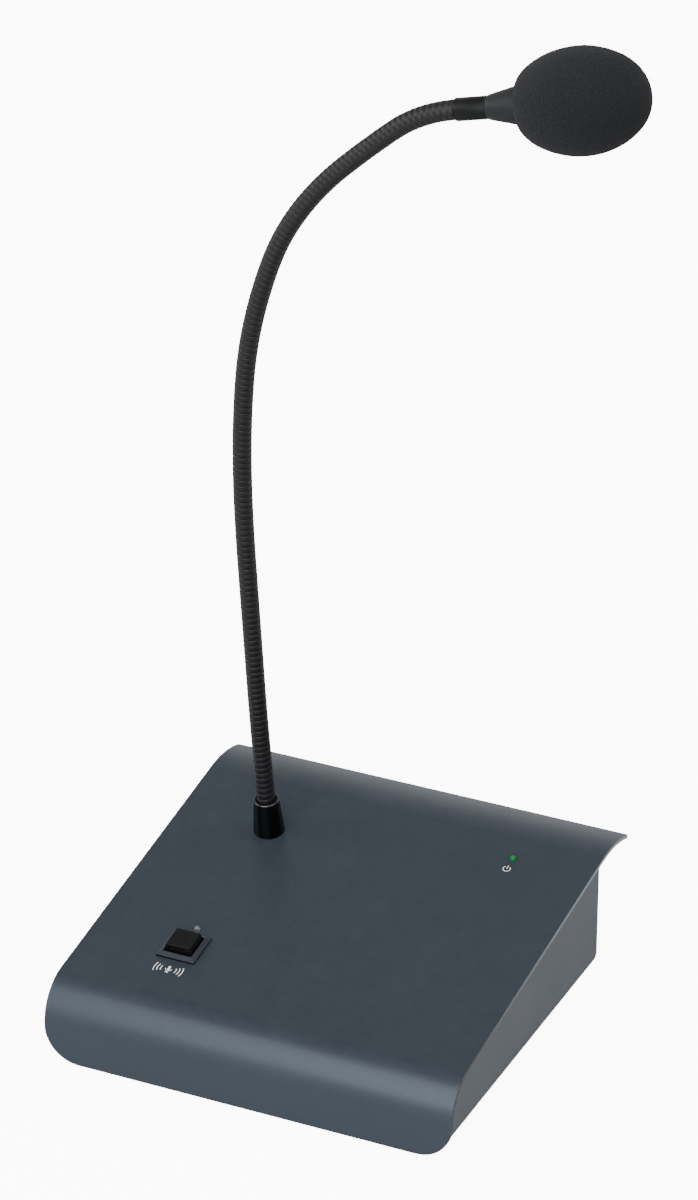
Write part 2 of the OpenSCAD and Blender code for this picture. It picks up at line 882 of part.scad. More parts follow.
module board_headers()
    color("ivory")
        for (p = header_places)
            translate([p[0], p[1], board_top])
                block(header_w, header_d, header_h);

module line_socket()
    color(black_matte)
        translate([jack_x, jack_y + jack_d / 2, board_top])
            difference() {
                block(jack_w, jack_d, jack_h);
                translate([0, (jack_d - plug_depth) / 2, jack_floor + latch_h])
                    block(plug_w, plug_depth + 0.01, plug_h);
                translate([0, (jack_d - plug_depth) / 2, jack_floor])
                    block(latch_w, plug_depth + 0.01, latch_h + 1);
            }

module line_contacts()
    color("gold")
        for (i = [0:7])
            translate([jack_x + (i - 3.5) * contact_pitch, jack_y + jack_d - plug_depth / 2 - contact_back,
                board_top + jack_floor + latch_h + plug_h - contact_t])
                block(contact_w, contact_len, contact_t);

// Leads inside the base, each from where it leaves a piece to its header on the board
function slope_point(x, s, z) =
    [x, nose_y + s * cos(slope) - z * sin(slope), slope_z0 + s * sin(slope) + z * cos(slope)];
function between(a, b, share) = a + (b - a) * share;
function header_side(i) = [header_places[i][0] - header_w / 2, header_places[i][1], lead_z];
function header_top(i, rise) = [header_places[i][0], header_places[i][1], board_top + header_h + rise];

module mic_lead() {
    start = slope_point(column_x, neck_s, -ferrule_depth - 2 * lead_drop);
    end = header_side(0);
    color(rubber)
        tube([slope_point(column_x, neck_s, -root_depth - 2), start,
            between(start, end, 0.08) - [0, 0, 2 * lead_drop],
            [between(start[0], end[0], 0.32), end[1], end[2] + lead_drop],
            [between(start[0], end[0], 0.58), end[1], end[2]], end],
            mic_lead_d, 8, [0, 1, 0]);
}

module switch_lead() {
    start = slope_point(column_x, button_s, -bezel_depth - switch_h - lead_drop);
    end = header_side(1);
    turn = end - [2 * lead_drop, 0, 0];
    low = floor_z + lead_clear;
    function low_point(share, rise) =
        [between(start[0], turn[0], share), between(start[1], turn[1], share), low + rise];
    color(rubber)
        tube([slope_point(column_x, button_s, -bezel_depth - switch_h), start, low_point(0.12, 0),
            low_point(0.4, 0), low_point(0.7, lead_drop), turn, end],
            switch_lead_d, 8, [1, -0.6, 0]);
}

module lamp_leads() {
    low = -cover_t - lamp_seat - lamp_flange_h;
    talk = slope_point(column_x, talk_lamp_s, low - 2 * lead_drop);
    power = slope_point(power_lamp_x, power_lamp_s, low - 2 * lead_drop);
    color(rubber) {
        tube([slope_point(power_lamp_x, power_lamp_s, low), power,
            between(power, header_top(2, lead_arch), 0.7), header_top(2, lead_drop), header_top(2, 0)],
            lamp_lead_d, 8, [1, 0, 0]);
        tube([slope_point(column_x, talk_lamp_s, low), talk,
            between(talk, header_top(1, lead_arch / 2), 0.35) - [0, 0, lead_drop],
            header_top(1, lead_arch / 2) - [0, 2 * lead_drop, 0], header_top(1, lead_drop), header_top(1, 0)],
            lamp_lead_d, 8, [1, 0.3, 0]);
    }
}

// Head: sleeve, capsule housing and windscreen
module on_head()
    on_neck(link_count)
        children();

module neck_sleeve()
    color(black_gloss)
        on_head()
            difference() {
                cylinder(d = sleeve_d, h = sleeve_len);
                translate([0, 0, -1])
                    cylinder(d = spigot_d + 2 * thread_gap, h = spigot_len + 1 + pass_gap);
                cylinder(d = lead_bore, h = sleeve_len + 1);
            }

module capsule_collar()
    color(black_matte)
        on_head()
            rotate_extrude()
                polygon([[lead_bore / 2, sleeve_len], [collar_d / 2, sleeve_len],
                    [barrel_d / 2, sleeve_len + collar_len], [barrel_d / 2, collar_end],
                    [lead_bore / 2, collar_end]]);

module capsule_barrel()
    color(black_matte)
        on_head()
            translate([0, 0, collar_end])
                pipe(barrel_d, barrel_d - 2 * barrel_wall, barrel_len);

module capsule_grille()
    color(steel)
        on_head()
            translate([0, 0, barrel_end])
                difference() {
                    cylinder(d = barrel_d, h = grille_t);
                    for (i = [0:6])
                        rotate([0, 0, 60 * i])
                            translate([i == 6 ? 0 : barrel_d / 4, 0, -1])
                                cylinder(d = grille_hole_d, h = grille_t + 2);
                }

module mic_capsule()
    color(steel)
        on_head()
            translate([0, 0, capsule_z])
                cylinder(d = capsule_d, h = capsule_len);

module capsule_seal()
    color(rubber)
        on_head()
            translate([0, 0, capsule_z + 1])
                pipe(barrel_d - 2 * barrel_wall - 2 * thread_gap, capsule_d + 2 * thread_gap, capsule_len - 2);

module windscreen()
    color(black_matte)
        on_head()
            rotate_extrude() {
                hollow = barrel_d / 2 + run_gap;
                crown = [for (i = [0:foam_steps])
                    let (a = foam_cut * (1 - i / foam_steps))
                    [foam_d / 2 * sin(a), foam_mid + foam_len / 2 * cos(a)]];
                mouth_z = crown[0][1];
                polygon(concat(crown, [[0, grille_end + run_gap], [hollow, grille_end + run_gap],
                    [hollow, mouth_z]]));
            }

top_cover();
chassis();
base_plate();
cover_studs();
cover_nuts();
base_screws();
rubber_feet();
foot_screws();
foot_nuts();
neck_socket();
neck_ferrule();
neck_washer();
neck_lock_nut();
neck_root();
switch_bezel();
switch_clip();
switch_body();
switch_terminals();
switch_spring();
button_cap();
button_plunger();
talk_lamp();
talk_lamp_holder();
power_lamp();
power_lamp_holder();
main_board();
board_standoffs();
board_screws();
board_chips();
board_capacitors();
board_headers();
line_socket();
line_contacts();
mic_lead();
switch_lead();
lamp_leads();
for (k = [1:link_count])
    neck_link(k - 1);
neck_sleeve();
capsule_collar();
capsule_barrel();
capsule_grille();
mic_capsule();
capsule_seal();
windscreen();
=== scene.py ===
import bmesh
import bpy
import json
import math
from mathutils import Matrix, Vector, geometry, noise

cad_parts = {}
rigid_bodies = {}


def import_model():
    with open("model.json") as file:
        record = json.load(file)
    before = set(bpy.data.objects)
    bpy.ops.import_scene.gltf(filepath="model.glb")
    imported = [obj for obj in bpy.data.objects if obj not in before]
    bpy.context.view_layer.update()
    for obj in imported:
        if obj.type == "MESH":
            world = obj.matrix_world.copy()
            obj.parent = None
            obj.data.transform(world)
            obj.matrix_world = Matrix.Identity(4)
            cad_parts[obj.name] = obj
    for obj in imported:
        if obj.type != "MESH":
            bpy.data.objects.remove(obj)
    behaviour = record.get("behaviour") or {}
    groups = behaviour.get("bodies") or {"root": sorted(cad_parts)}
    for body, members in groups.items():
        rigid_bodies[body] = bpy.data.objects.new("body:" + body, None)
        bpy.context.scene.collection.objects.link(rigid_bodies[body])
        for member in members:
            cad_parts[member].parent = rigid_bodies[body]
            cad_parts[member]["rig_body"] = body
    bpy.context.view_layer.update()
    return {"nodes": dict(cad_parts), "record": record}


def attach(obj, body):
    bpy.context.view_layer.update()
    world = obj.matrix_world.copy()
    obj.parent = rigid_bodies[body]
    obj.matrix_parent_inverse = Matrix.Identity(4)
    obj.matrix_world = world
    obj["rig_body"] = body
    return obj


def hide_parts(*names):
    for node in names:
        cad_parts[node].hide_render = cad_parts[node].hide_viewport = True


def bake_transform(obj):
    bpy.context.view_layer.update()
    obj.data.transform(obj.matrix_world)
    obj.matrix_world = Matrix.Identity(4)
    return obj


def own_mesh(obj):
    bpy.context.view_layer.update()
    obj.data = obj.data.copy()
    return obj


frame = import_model()
nodes = frame["nodes"]
slotOf = {part["node"]: part["material_slot"] for part in frame["record"]["subparts"]}
mm = 0.001
print("frame loaded with", len(nodes), "nodes")

# camera at the photograph's viewing angle
cameraLook = {
    "place": (0.8604, -1.8534, 1.2860),
    "azimuth": 24.806,
    "elevation": 27.80,
    "roll": 0.226,
    "lens": 157.27,
    "sensor": 36,
    "farthest": 30,
}


def addCamera(look):
    data = bpy.data.cameras.new("deskCamera")
    data.lens = look["lens"]
    data.sensor_width = look["sensor"]
    data.clip_end = look["farthest"]
    camera = bpy.data.objects.new("deskCamera", data)
    bpy.context.scene.collection.objects.link(camera)
    swing = Matrix.Rotation(math.radians(look["azimuth"]), 4, "Z")
    lean = Matrix.Rotation(math.radians(90 - look["elevation"]), 4, "X")
    roll = Matrix.Rotation(math.radians(look["roll"]), 4, "Z")
    camera.matrix_world = Matrix.Translation(look["place"]) @ swing @ lean @ roll
    bpy.context.scene.camera = camera


addCamera(cameraLook)
print("camera set")

# places on the sloping panel and along the neck, in mm
panel = {"slope": 9.3, "noseY": -80, "noseZ": 19.3, "noseRadius": 20, "column": -53.5}
neck = {
    "footSlope": 118.3,
    "rootLength": 51,
    "linkLength": 33.65,
    "turns": [1, 0, 0, 1.5, 2.7, 3.3, 7.2, 6.3, 12.9, 10.8, 3.3, 26.2],
    "buried": 4,  # where the winding starts inside the socket
    "radius": 4.35,
    "ribsPerLink": 11,
    "grooveDepth": 0.28,
    "grooveShare": 0.13,  # share of the pitch that the groove takes
    "floorShare": 0.6,
    "floorRise": 0.06,
    "lipDrop": 0.16,
    "shoulderShare": 1.9,
    "crownDrop": 0.05,
    "sides": 36,
}
slopeTurn = Matrix.Rotation(math.radians(panel["slope"]), 4, "X")


def onSlope(x, s, height=0):
    rise = math.radians(panel["slope"])
    y = panel["noseY"] + s * math.cos(rise)
    z = panel["noseZ"] + panel["noseRadius"] / math.cos(rise) + s * math.sin(rise)
    return Matrix.Translation(Vector((x, y, z)) * mm) @ slopeTurn @ Matrix.Translation((0, 0, height * mm))


def neckPlace(s):
    # frame on the neck's centre line, its Z along the neck, at a distance from the panel
    u, w, tilt = 0.0, min(s, neck["rootLength"]), 0.0
    left = s - neck["rootLength"]
    for turn in neck["turns"]:
        if left <= 0:
            break
        run = min(left, neck["linkLength"])
        bend = math.radians(turn) * run / neck["linkLength"]
        if bend:
            r = run / bend
            u += r * (math.cos(tilt) - math.cos(tilt + bend))
            w += r * (math.sin(tilt + bend) - math.sin(tilt))
        else:
            u += run * math.sin(tilt)
            w += run * math.cos(tilt)
        tilt += bend
        left -= run
    foot = onSlope(panel["column"], neck["footSlope"])
    return foot @ Matrix.Translation((u * mm, 0, w * mm)) @ Matrix.Rotation(tilt, 4, "Y")


neckEnd = neck["rootLength"] + len(neck["turns"]) * neck["linkLength"]


# shader groups that several finishes share
def srgb(r, g, b):
    return tuple(((c / 255 + 0.055) / 1.055) ** 2.4 if c > 10 else c / 3294.6 for c in (r, g, b)) + (1,)


def startGroup(name, inputs, outputs):
    group = bpy.data.node_groups.new(name, "ShaderNodeTree")
    for label, kind in inputs:
        group.interface.new_socket(label, in_out="INPUT", socket_type="NodeSocket" + kind)
    for label, kind in outputs:
        group.interface.new_socket(label, in_out="OUTPUT", socket_type="NodeSocket" + kind)
    return group, group.nodes.new("NodeGroupInput"), group.nodes.new("NodeGroupOutput")


def addNode(tree, kind, **values):
    node = tree.nodes.new("ShaderNode" + kind)
    for key, value in values.items():
        setattr(node, key, value)
    return node


def mathNode(tree, operation, first, second=None, third=None):
    node = addNode(tree, "Math", operation=operation)
    for index, value in enumerate((first, second, third)):
        if value is None:
            continue
        if isinstance(value, (int, float)):
            node.inputs[index].default_value = value
        else:
            tree.links.new(value, node.inputs[index])
    return node.outputs[0]


def mixColour(tree, share, first, second):
    node = addNode(tree, "Mix", data_type="RGBA")
    for socket, value in ((node.inputs[0], share), (node.inputs[6], first), (node.inputs[7], second)):
        if isinstance(value, (int, float, tuple)):
            socket.default_value = value
        else:
            tree.links.new(value, socket)
    return node.outputs[2]


# grain, rubbed edges and dust of all finishes, scales per metre
surface = {
    "grainDetail": 3, "cloudDetail": 2, "cloudScale": 35.0, "edgeFrom": 0.56, "edgeTo": 0.66,
    "edgeBreakUp": 900, "dustScale": 160, "dustDetail": 6, "dustColour": (150, 148, 144),
}


def makeGrainGroup():
    # fine grain for bump, and a slow cloud for drift in colour and gloss
    group, given, put = startGroup(
        "grainAndCloud",
        [("Vector", "Vector"), ("Grain Scale", "Float"), ("Cloud Scale", "Float")],
        [("Grain", "Float"), ("Cloud", "Float")],
    )
    fine = addNode(group, "TexNoise")
    fine.inputs["Detail"].default_value = surface["grainDetail"]
    slow = addNode(group, "TexNoise")
    slow.inputs["Detail"].default_value = surface["cloudDetail"]
    for texture, label in ((fine, "Grain Scale"), (slow, "Cloud Scale")):
        group.links.new(given.outputs["Vector"], texture.inputs["Vector"])
        group.links.new(given.outputs[label], texture.inputs["Scale"])
    group.links.new(fine.outputs["Fac"], put.inputs["Grain"])
    group.links.new(slow.outputs["Fac"], put.inputs["Cloud"])
    return group


def makeEdgeGroup():
    # bright rubbed edges where the surface is sharply convex, broken up by noise
    group, given, put = startGroup(
        "rubbedEdges",
        [("Vector", "Vector"), ("Colour", "Color"), ("Bare Colour", "Color"), ("Amount", "Float")],
        [("Colour", "Color")],
    )
    shape = addNode(group, "NewGeometry")
    ramp = addNode(group, "MapRange")
    ramp.inputs["From Min"].default_value = surface["edgeFrom"]
    ramp.inputs["From Max"].default_value = surface["edgeTo"]
    group.links.new(shape.outputs["Pointiness"], ramp.inputs["Value"])
    breakUp = addNode(group, "TexNoise")
    breakUp.inputs["Scale"].default_value = surface["edgeBreakUp"]
    group.links.new(given.outputs["Vector"], breakUp.inputs["Vector"])
    patchy = mathNode(group, "MULTIPLY", ramp.outputs["Result"], breakUp.outputs["Fac"])
    mask = mathNode(group, "MULTIPLY", patchy, given.outputs["Amount"])
    colour = mixColour(group, mask, given.outputs["Colour"], given.outputs["Bare Colour"])
    group.links.new(colour, put.inputs["Colour"])
    return group


def makeDustGroup():
    # thin dust on what faces up
    group, given, put = startGroup(
        "settledDust",
        [("Vector", "Vector"), ("Colour", "Color"), ("Dust Colour", "Color"), ("Amount", "Float")],
        [("Colour", "Color")],
    )
    shape = addNode(group, "NewGeometry")
    parts = addNode(group, "SeparateXYZ")
    group.links.new(shape.outputs["Normal"], parts.inputs[0])
    specks = addNode(group, "TexNoise")
    specks.inputs["Scale"].default_value = surface["dustScale"]
    specks.inputs["Detail"].default_value = surface["dustDetail"]
    group.links.new(given.outputs["Vector"], specks.inputs["Vector"])
    facing = mathNode(group, "MAXIMUM", parts.outputs["Z"], 0.0)
    patchy = mathNode(group, "MULTIPLY", facing, specks.outputs["Fac"])
    mask = mathNode(group, "MULTIPLY", patchy, given.outputs["Amount"])
    colour = mixColour(group, mask, given.outputs["Colour"], given.outputs["Dust Colour"])
    group.links.new(colour, put.inputs["Colour"])
    return group


grainGroup = makeGrainGroup()
edgeGroup = makeEdgeGroup()
dustGroup = makeDustGroup()


def placeGroup(tree, group, vector, **values):
    node = addNode(tree, "Group", node_tree=group)
    tree.links.new(vector, node.inputs["Vector"])
    for key, value in values.items():
        socket = node.inputs[key.replace("_", " ")]
        if isinstance(value, (int, float, tuple)):
            socket.default_value = value
        else:
            tree.links.new(value, socket)
    return node


# finishes: colours in sRGB, grain and bump in mm, lit for a lamp that is on
finishLooks = {
    "slatePaint": {"colour": (42, 49, 57), "drift": 0.05, "rough": (0.32, 0.4), "grain": 0.8,
                   "bump": 0.045, "specular": 0.8, "tint": (208, 222, 238), "dust": 0.04},
    # the cut edge's light grey, much lighter than the paint, is a painted highlight where the cover's cut
    # edge catches light
    "cutEdge": {"colour": (138, 145, 151), "drift": 0.1, "rough": (0.36, 0.46), "grain": 0.5,
                "bump": 0.015, "specular": 0.5, "tint": (208, 222, 238), "wear": 0.3,
                "bare": (170, 174, 178), "dust": 0.02},
    "zincPlate": {"colour": (176, 178, 180), "drift": 0.08, "rough": (0.28, 0.42), "grain": 0.8,
                  "bump": 0.01, "metal": 1.0, "wear": 0.2, "bare": (215, 216, 218)},
    "brassPlate": {"colour": (196, 160, 92), "drift": 0.08, "rough": (0.25, 0.4), "grain": 0.6,
                   "bump": 0.008, "metal": 1.0, "wear": 0.1, "bare": (226, 200, 140)},
    "footRubber": {"colour": (34, 34, 36), "drift": 0.12, "rough": (0.7, 0.85), "grain": 0.5,
                   "bump": 0.03, "wear": 0.2, "bare": (62, 62, 64), "dust": 0.1},
    "glossMoulding": {"colour": (4, 4, 5), "drift": 0.08, "rough": (0.1, 0.16), "grain": 1.2,
                      "bump": 0.004, "specular": 0.15, "wear": 0.1, "bare": (60, 60, 64), "dust": 0.01},
    # a lighter, glossier copy of the black moulding for the socket's rim: a painted highlight ring
    "rimHighlightGloss": {"colour": (16, 16, 17), "drift": 0.08, "rough": (0.14, 0.2), "grain": 1.2,
                 "bump": 0.003, "specular": 1.0, "wear": 0.1, "bare": (70, 70, 74), "dust": 0.01},
    "neckBlack": {"colour": (21, 21, 23), "drift": 0.12, "rough": (0.38, 0.48), "grain": 0.3,
                  "bump": 0.01, "specular": 0.3, "wear": 0.3, "bare": (92, 92, 94), "dust": 0.03},
    "sleeveDark": {"colour": (13, 14, 16), "drift": 0.08, "rough": (0.36, 0.44), "grain": 0.4,
                   "bump": 0.008, "specular": 0.18, "wear": 0.2, "bare": (110, 112, 114), "dust": 0.03},
    "collarGrey": {"colour": (27, 29, 31), "drift": 0.06, "rough": (0.5, 0.58), "grain": 0.4,
                   "bump": 0.008, "metal": 0.05, "specular": 0.25, "wear": 0.2, "bare": (130, 132, 134),
                   "dust": 0.03},
    "switchMatt": {"colour": (8, 8, 9), "drift": 0.1, "rough": (0.5, 0.62), "grain": 0.25, "bump": 0.02,
                   "specular": 0.2, "wear": 0.2, "bare": (60, 61, 64), "dust": 0.02},
    # the bezel's top faces take this lighter satin, its upright sides the near-black gloss; the dark sides
    # are painted shade along the bezel's edge
    "bezelSatin": {"colour": (30, 33, 37), "drift": 0.08, "rough": (0.36, 0.44), "grain": 0.5,
                   "bump": 0.006, "specular": 0.66, "tint": (216, 228, 246), "wear": 0.1,
                   "bare": (80, 82, 86), "dust": 0.02},
    "plungerWhite": {"colour": (205, 200, 188), "drift": 0.06, "rough": (0.4, 0.5), "grain": 0.4,
                     "bump": 0.01, "wear": 0.1, "bare": (225, 222, 214), "dust": 0.05},
    "lampGreen": {"colour": (2, 112, 46), "drift": 0.1, "rough": (0.2, 0.26), "grain": 0.8,
                  "bump": 0.003, "specular": 0.1, "lit": 0.3, "dust": 0.02},
    "boardGreen": {"colour": (24, 74, 42), "drift": 0.15, "rough": (0.3, 0.42), "grain": 0.6,
                   "bump": 0.015, "wear": 0.1, "bare": (120, 130, 90), "dust": 0.05},
    "canBlue": {"colour": (26, 32, 66), "drift": 0.1, "rough": (0.22, 0.32), "grain": 0.5,
                "bump": 0.006, "wear": 0.1, "bare": (110, 116, 140), "dust": 0.03},
    "socketBlack": {"colour": (22, 21, 24), "drift": 0.1, "rough": (0.3, 0.42), "grain": 0.35,
                    "bump": 0.012, "wear": 0.15, "bare": (62, 62, 66), "dust": 0.05},
    "leadBlack": {"colour": (28, 28, 30), "drift": 0.1, "rough": (0.5, 0.62), "grain": 0.5,
                  "bump": 0.015, "wear": 0.1, "bare": (60, 60, 62), "dust": 0.05},
    "panelPrint": {"colour": (248, 249, 250), "drift": 0.05, "rough": (0.5, 0.6), "grain": 0.3,
                   "bump": 0.006, "dust": 0.03},
}


def shade(colour, factor):
    return tuple(min(1, c * factor) for c in colour[:3]) + (1,)


def makeFinish(name, look):
    material = bpy.data.materials.new(name)
    material.use_nodes = True
    tree = material.node_tree
    shader = tree.nodes["Principled BSDF"]
    vector = addNode(tree, "TexCoord").outputs["Object"]
    grain = placeGroup(tree, grainGroup, vector, Grain_Scale=1 / (look["grain"] * mm),
                       Cloud_Scale=surface["cloudScale"])
    colour = srgb(*look["colour"])
    skin = mixColour(tree, grain.outputs["Cloud"], shade(colour, 1 - look["drift"]),
                     shade(colour, 1 + look["drift"]))
    if "wear" in look:
        worn = placeGroup(tree, edgeGroup, vector, Colour=skin, Bare_Colour=srgb(*look["bare"]),
                          Amount=look["wear"])
        skin = worn.outputs["Colour"]
    if "dust" in look:
        dusty = placeGroup(tree, dustGroup, vector, Colour=skin, Dust_Colour=srgb(*surface["dustColour"]),
                           Amount=look["dust"])
        skin = dusty.outputs["Colour"]
    tree.links.new(skin, shader.inputs["Base Color"])
    gloss = addNode(tree, "MapRange")
    gloss.inputs["To Min"].default_value, gloss.inputs["To Max"].default_value = look["rough"]
    tree.links.new(grain.outputs["Cloud"], gloss.inputs["Value"])
    tree.links.new(gloss.outputs["Result"], shader.inputs["Roughness"])
    bump = addNode(tree, "Bump")
    bump.inputs["Distance"].default_value = look["bump"] * mm
    tree.links.new(grain.outputs["Grain"], bump.inputs["Height"])
    tree.links.new(bump.outputs["Normal"], shader.inputs["Normal"])
    shader.inputs["Metallic"].default_value = look.get("metal", 0.0)
    shader.inputs["Specular IOR Level"].default_value = look.get("specular", 0.5)
    shader.inputs["Specular Tint"].default_value = srgb(*look.get("tint", (255, 255, 255)))
    shader.inputs["Emission Color"].default_value = colour
    shader.inputs["Emission Strength"].default_value = look.get("lit", 0.0)
    return material


finishes = {name: makeFinish(name, look) for name, look in finishLooks.items()}

# the cover's cut edge is dark about the nose, a painted shade, and lighter toward the rear, a painted
# highlight
cutEdgeShadeFade = {"front": (14, 17, 20), "frontY": -100, "rearY": 40}


def paintShadeAlong(material, look):
    tree = material.node_tree
    base = tree.nodes["Principled BSDF"].inputs["Base Color"]
    parts = addNode(tree, "SeparateXYZ")
    tree.links.new(addNode(tree, "TexCoord").outputs["Object"], parts.inputs[0])
    along = addNode(tree, "MapRange")
    along.inputs["From Min"].default_value = look["frontY"] * mm
    along.inputs["From Max"].default_value = look["rearY"] * mm
    tree.links.new(parts.outputs["Y"], along.inputs["Value"])
    # painted shade at the front, fading along Y into the edge's lighter colour toward the rear
    shadedEdge = mixColour(tree, along.outputs["Result"], srgb(*look["front"]), base.links[0].from_socket)
    tree.links.new(shadedEdge, base)


paintShadeAlong(finishes["cutEdge"], cutEdgeShadeFade)

# clear lens of the talk lamp
clearLook = {"cloudScale": 300.0, "dark": (214, 218, 222), "light": (238, 241, 244), "through": 0.85,
             "rough": 0.06, "ior": 1.5}


def makeClearLamp(look):
    material = bpy.data.materials.new("lampClear")
    material.use_nodes = True
    tree = material.node_tree
    shader = tree.nodes["Principled BSDF"]
    vector = addNode(tree, "TexCoord").outputs["Object"]
    grain = placeGroup(tree, grainGroup, vector, Cloud_Scale=look["cloudScale"])
    tint = mixColour(tree, grain.outputs["Cloud"], srgb(*look["dark"]), srgb(*look["light"]))
    tree.links.new(tint, shader.inputs["Base Color"])
    shader.inputs["Transmission Weight"].default_value = look["through"]
    shader.inputs["Roughness"].default_value = look["rough"]
    shader.inputs["IOR"].default_value = look["ior"]
    return material


finishes["lampClear"] = makeClearLamp(clearLook)

# open-cell foam: pores of two sizes in bump, with painted shade in the pores (darker there, lighter on the
# cell walls), and a soft fuzz
foamLook = {"colour": (24, 25, 28), "dark": 0.62, "light": 1.35, "pore": 0.75, "finePore": 0.3,
            "fineDetail": 4, "fineShare": 0.6, "bump": 0.25, "rough": 0.95, "specular": 0.15, "sheen": 0.04,
            "sheenRough": 0.6}


def makeFoam(look):
    material = bpy.data.materials.new("foam")
    material.use_nodes = True
    tree = material.node_tree
    shader = tree.nodes["Principled BSDF"]
    vector = addNode(tree, "TexCoord").outputs["Object"]
    cells = addNode(tree, "TexVoronoi")
    cells.inputs["Scale"].default_value = 1 / (look["pore"] * mm)
    tree.links.new(vector, cells.inputs["Vector"])
    fine = addNode(tree, "TexNoise")
    fine.inputs["Scale"].default_value = 1 / (look["finePore"] * mm)
    fine.inputs["Detail"].default_value = look["fineDetail"]
    tree.links.new(vector, fine.inputs["Vector"])
    relief = mathNode(tree, "MULTIPLY_ADD", fine.outputs["Fac"], look["fineShare"],
                      cells.outputs["Distance"])
    bump = addNode(tree, "Bump")
    bump.inputs["Distance"].default_value = look["bump"] * mm
    tree.links.new(relief, bump.inputs["Height"])
    tree.links.new(bump.outputs["Normal"], shader.inputs["Normal"])
    colour = srgb(*look["colour"])
    # painted shade: the colour is darker where the relief is low, in the pores
    poreShade = mixColour(tree, relief, shade(colour, look["dark"]), shade(colour, look["light"]))
    tree.links.new(poreShade, shader.inputs["Base Color"])
    shader.inputs["Roughness"].default_value = look["rough"]
    shader.inputs["Specular IOR Level"].default_value = look["specular"]
    shader.inputs["Sheen Weight"].default_value = look["sheen"]
    shader.inputs["Sheen Roughness"].default_value = look["sheenRough"]
    return material


finishes["foam"] = makeFoam(foamLook)

# which finish dresses each of the record's slots
slotFinish = {
    "base_paint": "slatePaint", "plated_steel": "zincPlate", "plated_brass": "brassPlate",
    "foot_rubber": "footRubber", "socket_black": "glossMoulding", "neck_black": "neckBlack",
    "sleeve_dark": "sleeveDark", "collar_grey": "collarGrey", "barrel_alloy": "collarGrey", "foam": "foam",
    "switch_black": "switchMatt", "plunger_white": "plungerWhite", "lamp_clear": "lampClear",
    "lamp_green": "lampGreen", "board_green": "boardGreen", "capacitor_blue": "canBlue",
    "socket_plastic": "socketBlack", "lead_black": "leadBlack",
}
for nodeName, node in nodes.items():
    node.data.materials.clear()
    node.data.materials.append(finishes[slotFinish[slotOf[nodeName]]])
print("finishes made:", len(finishes))


# modelling helpers: meshes are drawn in mm and put in place in metres
def softenEdges(bm, width, segments=3, fromAngle=28):
    sharp = [e for e in bm.edges if len(e.link_faces) == 2
             and e.calc_face_angle(0) > math.radians(fromAngle)]
    bmesh.ops.bevel(bm, geom=sharp, offset=width, offset_type="OFFSET", affect="EDGES", segments=segments,
                    profile=0.5, clamp_overlap=True, material=-1)


def addPiece(name, bm, finish, body=None, stands=(), sharpAngle=40):
    mesh = bpy.data.meshes.new(name)
    bm.to_mesh(mesh)
    bm.free()
    mesh.materials.append(finishes[finish])
    for face in mesh.polygons:
        face.use_smooth = True
    mesh.set_sharp_from_angle(angle=math.radians(sharpAngle))
    piece = bpy.data.objects.new(name, mesh)
    bpy.context.scene.collection.objects.link(piece)
    if body:
        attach(piece, body)
    if stands:
        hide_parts(*stands)
    return piece


def toPlace(bm, place):
    bmesh.ops.transform(bm, matrix=place @ Matrix.Scale(mm, 4), verts=bm.verts)


def spunShape(outline, steps=72, closed=True):
    # turns an outline of (radius, height) points about Z
    bm = bmesh.new()
    rim = [bm.verts.new((r, 0, z)) for r, z in outline]
    pairs = list(zip(rim, rim[1:]))
    if closed:
        pairs.append((rim[-1], rim[0]))
    edges = [bm.edges.new(pair) for pair in pairs]
    bmesh.ops.spin(bm, geom=rim + edges, cent=(0, 0, 0), axis=(0, 0, 1), angle=2 * math.pi, steps=steps,
                   use_merge=True)
    bmesh.ops.remove_doubles(bm, verts=bm.verts, dist=1e-4)
    bmesh.ops.recalc_face_normals(bm, faces=bm.faces)
    return bm


def faceAcross(piece, axis, finish, above):
    # faces turned along the axis, either way, take a second finish
    piece.data.materials.append(finishes[finish])
    for face in piece.data.polygons:
        if abs(face.normal.dot(axis)) > above:
            face.material_index = 1


def steadyNormals(mesh, limit=50):
    # each corner leans to the broadest faces at its vertex, so that flat faces stay flat beside round edges
    around = [[] for vert in mesh.vertices]
    for face in mesh.polygons:
        for vert in face.vertices:
            around[vert].append(face)
    closest = math.cos(math.radians(limit))
    normals = []
    for face in mesh.polygons:
        for vert in face.vertices:
            near = [f for f in around[vert] if f.normal.dot(face.normal) > closest]
            lean = sum((f.normal * (f.area / mm ** 2) ** 2 for f in near), Vector())
            normals.append(lean.normalized() if lean.length > 1e-9 else face.normal)
    mesh.normals_split_custom_set(normals)


def dressNode(nodeName, pieceName, finish, width, segments=3):
    # a copy of a node with its edges broken as on the real piece
    bm = bmesh.new()
    bm.from_mesh(nodes[nodeName].data)
    bmesh.ops.remove_doubles(bm, verts=bm.verts, dist=2e-6)
    bmesh.ops.dissolve_limit(bm, angle_limit=math.radians(0.3), verts=bm.verts, edges=bm.edges)
    softenEdges(bm, width * mm, segments)
    piece = addPiece(pieceName, bm, finish, nodes[nodeName]["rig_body"], [nodeName])
    steadyNormals(piece.data)
    return piece


# sheet metal base
sheetLook = {"coverEdge": 0.6, "cutFacing": 0.9, "chassisEdge": 0.3, "plateEdge": 0.3, "footEdge": 0.8}
topCover = dressNode("top_cover", "topCover", "slatePaint", sheetLook["coverEdge"], segments=5)
# the cover's cut edges, turned across X, take the lighter finish: a painted highlight
faceAcross(topCover, Vector((1, 0, 0)), "cutEdge", sheetLook["cutFacing"])
dressNode("chassis", "foldedChassis", "slatePaint", sheetLook["chassisEdge"], segments=2)
dressNode("base_plate", "basePlate", "zincPlate", sheetLook["plateEdge"], segments=2)
dressNode("rubber_feet", "rubberFeet", "footRubber", sheetLook["footEdge"])
print("base dressed")

